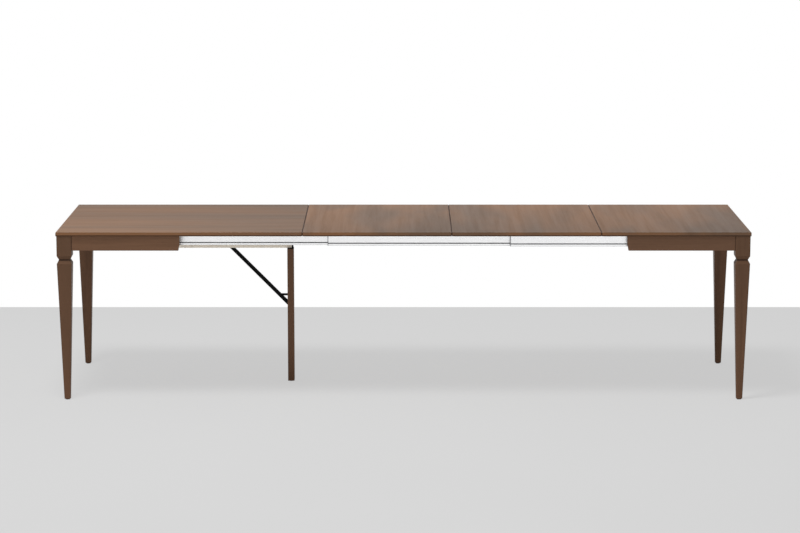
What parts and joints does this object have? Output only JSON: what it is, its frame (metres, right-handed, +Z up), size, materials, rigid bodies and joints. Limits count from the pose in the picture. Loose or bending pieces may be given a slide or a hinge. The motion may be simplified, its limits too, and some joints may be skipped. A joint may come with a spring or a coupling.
{
  "type": "extending table",
  "caption": "Walnut-finished extending dining table with tapered grooved legs, sliding aluminium runners, loose leaves and a folding support leg under the centre beam.",
  "frame": {"origin": "on the floor under the centre of the extended top", "axes": "+X along the table to the sliding half, +Y to the back, +Z up"},
  "size_m": [3.16, 0.9, 0.78],
  "materials": {
    "walnut_top": "satin foil",
    "walnut_frame": "satin stain",
    "pale_wood": "clear lacquer",
    "runner_aluminium": "satin anodised",
    "black_steel": "black powder coat",
    "zinc_steel": "zinc plated",
    "dark_plastic": "moulded nylon"
  },
  "bodies": {
    "left_base": {"left_top": "walnut_top", "leg_left_front": "walnut_frame", "left_front_apron": "walnut_frame", "corner_bracket_left_front": "zinc_steel", "left_rail_front": "runner_aluminium", "leg_left_back": "walnut_frame", "left_back_apron": "walnut_frame", "corner_bracket_left_back": "zinc_steel", "left_rail_back": "runner_aluminium", "left_end_apron": "walnut_frame", "left_corner_bolts": "zinc_steel", "left_rail_screws": "zinc_steel", "left_leg_glides": "dark_plastic", "centre_beam": "pale_wood", "beam_brackets": "zinc_steel", "hinge_screws": "zinc_steel", "hinge_bracket": "black_steel", "stay_track": "black_steel"},
    "right_base": {"right_top": "walnut_top", "leg_right_front": "walnut_frame", "right_front_apron": "walnut_frame", "corner_bracket_right_front": "zinc_steel", "right_rail_front": "runner_aluminium", "leg_right_back": "walnut_frame", "right_back_apron": "walnut_frame", "corner_bracket_right_back": "zinc_steel", "right_rail_back": "runner_aluminium", "right_end_apron": "walnut_frame", "right_corner_bolts": "zinc_steel", "right_rail_screws": "zinc_steel", "right_leg_glides": "dark_plastic", "right_rail_glides_front": "dark_plastic", "right_rail_glides_back": "dark_plastic"},
    "front_middle_runner": {"middle_rail_front": "runner_aluminium", "middle_rail_glides_front": "dark_plastic"},
    "back_middle_runner": {"middle_rail_back": "runner_aluminium", "middle_rail_glides_back": "dark_plastic"},
    "leaf_1": {"leaf_1": "walnut_top", "leaf_1_batten_left": "pale_wood", "leaf_1_batten_right": "pale_wood", "leaf_1_screws": "zinc_steel"},
    "leaf_2": {"leaf_2": "walnut_top", "leaf_2_batten_left": "pale_wood", "leaf_2_batten_right": "pale_wood", "leaf_2_screws": "zinc_steel"},
    "support_leg": {"support_leg": "walnut_frame", "support_leg_glide": "dark_plastic", "support_leg_head": "black_steel", "stay_pivot_pin": "black_steel", "stay_catch": "black_steel", "catch_screw": "black_steel"},
    "stay": {"stay": "black_steel", "stay_slider": "dark_plastic"}
  },
  "joints": [
    {"name": "extension_slide", "type": "slide", "parent": "left_base", "child": "right_base", "axis": [1, 0, 0], "range_m": [-1.36, 0]},
    {"name": "front_middle_slide", "type": "slide", "parent": "left_base", "child": "front_middle_runner", "axis": [1, 0, 0], "range_m": [-0.68, 0]},
    {"name": "back_middle_slide", "type": "slide", "parent": "left_base", "child": "back_middle_runner", "axis": [1, 0, 0], "range_m": [-0.68, 0]},
    {"name": "leaf_1_lift", "type": "slide", "parent": "left_base", "child": "leaf_1", "axis": [0, 0, 1], "range_m": [0, 0.204]},
    {"name": "leaf_2_lift", "type": "slide", "parent": "right_base", "child": "leaf_2", "axis": [0, 0, 1], "range_m": [0, 0.68]},
    {"name": "leg_fold", "type": "hinge", "parent": "left_base", "child": "support_leg", "pos_m": [-0.557, 0, 0.6495], "axis": [0, 1, 0], "range_deg": [0, 90]},
    {"name": "stay_swing", "type": "hinge", "parent": "support_leg", "child": "stay", "pos_m": [-0.531, 0.0295, 0.356], "axis": [0, 1, 0], "range_deg": [-131.5, 0]}
  ],
  "couplings": [
    {"joint": "front_middle_slide", "follows": "extension_slide", "ratio": 0.5},
    {"joint": "back_middle_slide", "follows": "extension_slide", "ratio": 0.5},
    {"joint": "leaf_1_lift", "follows": "extension_slide", "ratio": -0.15},
    {"joint": "leaf_2_lift", "follows": "extension_slide", "ratio": -0.5},
    {"joint": "stay_swing", "follows": "leg_fold", "ratio": -1.4596}
  ]
}
